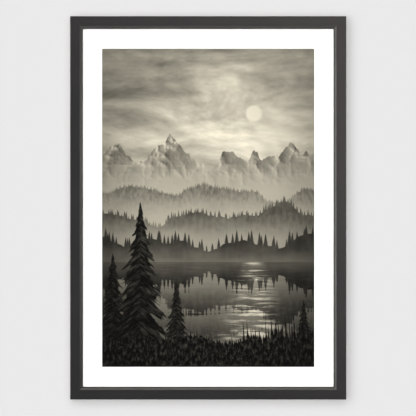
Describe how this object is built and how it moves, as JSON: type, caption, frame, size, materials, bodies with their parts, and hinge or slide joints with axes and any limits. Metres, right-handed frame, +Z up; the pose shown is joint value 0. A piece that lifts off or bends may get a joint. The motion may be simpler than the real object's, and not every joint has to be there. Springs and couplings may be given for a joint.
{
  "type": "framed print",
  "caption": "Upright mitred wooden picture frame with a bevelled lip, clear glass, a white window mat round a print, turn buttons at the back and a sawtooth hanger.",
  "frame": {"origin": "middle notch of the sawtooth hanger on the back of the top rail, where a nail or hook in the wall carries the frame", "axes": "+X to the viewer's right, +Z up along the frame's long side, -Y out of the front, +Y towards the wall"},
  "size_m": [0.52, 0.026, 0.722],
  "materials": {
    "black_frame": "satin",
    "glass": "polished",
    "mat_board": "matte",
    "print_paper": "matte",
    "filler_card": "matte",
    "back_board": "matte",
    "zinc_steel": "satin",
    "black_rubber": "matte"
  },
  "bodies": {
    "frame": {"frame_top": "black_frame", "frame_right": "black_frame", "frame_bottom": "black_frame", "frame_left": "black_frame", "glazing": "glass", "window_mat": "mat_board", "print_sheet": "print_paper", "filler_board": "filler_card", "back_board": "back_board", "corner_nail_top_right": "zinc_steel", "corner_nail_bottom_right": "zinc_steel", "corner_nail_bottom_left": "zinc_steel", "corner_nail_top_left": "zinc_steel", "button_screw_top_left": "zinc_steel", "button_screw_top_right": "zinc_steel", "button_screw_right_upper": "zinc_steel", "button_screw_right_lower": "zinc_steel", "button_screw_bottom_right": "zinc_steel", "button_screw_bottom_left": "zinc_steel", "button_screw_left_lower": "zinc_steel", "button_screw_left_upper": "zinc_steel", "sawtooth_hanger": "zinc_steel", "hanger_screw_left": "zinc_steel", "hanger_screw_right": "zinc_steel", "bumper_left": "black_rubber", "bumper_right": "black_rubber"},
    "button_top_left": {"turn_button_top_left": "zinc_steel"},
    "button_top_right": {"turn_button_top_right": "zinc_steel"},
    "button_right_upper": {"turn_button_right_upper": "zinc_steel"},
    "button_right_lower": {"turn_button_right_lower": "zinc_steel"},
    "button_bottom_right": {"turn_button_bottom_right": "zinc_steel"},
    "button_bottom_left": {"turn_button_bottom_left": "zinc_steel"},
    "button_left_lower": {"turn_button_left_lower": "zinc_steel"},
    "button_left_upper": {"turn_button_left_upper": "zinc_steel"}
  },
  "joints": [
    {"name": "swivel_top_left", "type": "hinge", "parent": "frame", "child": "button_top_left", "pos_m": [-0.156, -0.0019, 0.0015], "axis": [0, 1, 0], "range_deg": [-90, 90]},
    {"name": "swivel_top_right", "type": "hinge", "parent": "frame", "child": "button_top_right", "pos_m": [0.156, -0.0019, 0.0015], "axis": [0, 1, 0], "range_deg": [-90, 90]},
    {"name": "swivel_right_upper", "type": "hinge", "parent": "frame", "child": "button_right_upper", "pos_m": [0.251, -0.0019, -0.1339], "axis": [0, 1, 0], "range_deg": [-90, 90]},
    {"name": "swivel_right_lower", "type": "hinge", "parent": "frame", "child": "button_right_lower", "pos_m": [0.251, -0.0019, -0.5671], "axis": [0, 1, 0], "range_deg": [-90, 90]},
    {"name": "swivel_bottom_right", "type": "hinge", "parent": "frame", "child": "button_bottom_right", "pos_m": [0.156, -0.0019, -0.7025], "axis": [0, 1, 0], "range_deg": [-90, 90]},
    {"name": "swivel_bottom_left", "type": "hinge", "parent": "frame", "child": "button_bottom_left", "pos_m": [-0.156, -0.0019, -0.7025], "axis": [0, 1, 0], "range_deg": [-90, 90]},
    {"name": "swivel_left_lower", "type": "hinge", "parent": "frame", "child": "button_left_lower", "pos_m": [-0.251, -0.0019, -0.5671], "axis": [0, 1, 0], "range_deg": [-90, 90]},
    {"name": "swivel_left_upper", "type": "hinge", "parent": "frame", "child": "button_left_upper", "pos_m": [-0.251, -0.0019, -0.1339], "axis": [0, 1, 0], "range_deg": [-90, 90]}
  ]
}
